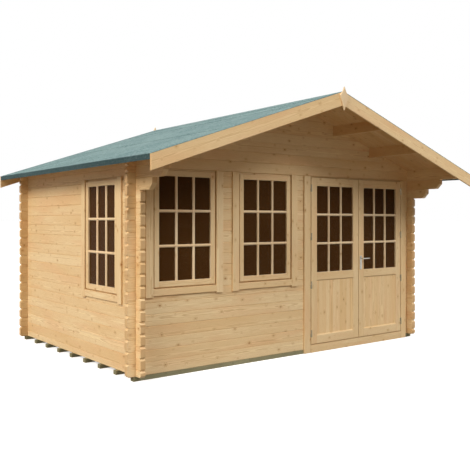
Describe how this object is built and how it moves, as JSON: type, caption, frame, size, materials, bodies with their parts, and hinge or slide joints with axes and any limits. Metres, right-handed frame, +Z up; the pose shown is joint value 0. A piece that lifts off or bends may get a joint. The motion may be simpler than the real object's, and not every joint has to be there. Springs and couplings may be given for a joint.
{
  "type": "log cabin",
  "caption": "Garden log cabin with interlocking log walls, a pitched felt roof with a front canopy, glazed windows and an outward-opening double door.",
  "frame": {"origin": "on the ground, under the centre of the roof's outline", "axes": "+X to the right seen from the front, +Y towards the back wall, +Z up"},
  "size_m": [4.628, 3.8968, 2.9364],
  "materials": {
    "spruce_logs": "planed, clear",
    "planed_spruce": "planed, clear",
    "spruce_boards": "planed, clear",
    "treated_spruce": "pressure treated, matte",
    "mineral_felt": "mineral surface, matte",
    "window_glass": "clear float glass",
    "zinc_plated_steel": "zinc plated",
    "satin_steel": "satin"
  },
  "bodies": {
    "cabin": {"floor_bearers": "treated_spruce", "front_wall_low_logs": "spruce_logs", "front_wall_corner_logs": "spruce_logs", "front_wall_middle_logs": "spruce_logs", "front_wall_door_logs": "spruce_logs", "front_wall_right_logs": "spruce_logs", "front_wall_lintel_log": "spruce_logs", "front_gable_logs": "spruce_logs", "back_wall_logs": "spruce_logs", "back_gable_logs": "spruce_logs", "left_wall_low_logs": "spruce_logs", "left_wall_front_logs": "spruce_logs", "left_wall_back_logs": "spruce_logs", "left_wall_plate_logs": "spruce_logs", "right_wall_logs": "spruce_logs", "right_wall_plate_logs": "spruce_logs", "ridge_purlin": "spruce_logs", "side_purlins": "spruce_logs", "left_roof_boards": "spruce_boards", "right_roof_boards": "spruce_boards", "left_roof_felt": "mineral_felt", "right_roof_felt": "mineral_felt", "front_bargeboards": "planed_spruce", "back_bargeboards": "planed_spruce", "finials": "planed_spruce", "floor_boards": "spruce_boards", "front_window_1_frame": "planed_spruce", "front_window_1_sash": "planed_spruce", "front_window_2_frame": "planed_spruce", "front_window_2_sash": "planed_spruce", "side_window_frame": "planed_spruce", "side_window_sash": "planed_spruce", "window_glass": "window_glass", "door_frame": "planed_spruce", "door_frame_hinges": "zinc_plated_steel"},
    "left_door": {"left_door_leaf": "planed_spruce", "left_door_panel": "planed_spruce", "left_door_glass": "window_glass", "left_door_hinges": "zinc_plated_steel"},
    "right_door": {"right_door_leaf": "planed_spruce", "right_door_panel": "planed_spruce", "right_door_glass": "window_glass", "right_door_hinges": "zinc_plated_steel", "door_handle_plates": "satin_steel"},
    "lever": {"door_lever": "satin_steel"}
  },
  "joints": [
    {"name": "left_door_hinge", "type": "hinge", "parent": "cabin", "child": "left_door", "pos_m": [0.2365, -1.2039, 1], "axis": [0, 0, -1], "range_deg": [0, 100]},
    {"name": "right_door_hinge", "type": "hinge", "parent": "cabin", "child": "right_door", "pos_m": [1.8355, -1.2039, 1], "axis": [0, 0, 1], "range_deg": [0, 100]},
    {"name": "lever_turn", "type": "hinge", "parent": "right_door", "child": "lever", "pos_m": [1.075, -1.197, 1.067], "axis": [0, 1, 0], "range_deg": [0, 40], "stiffness_Nm_per_rad": 1.5, "springref_deg": -20.05}
  ]
}
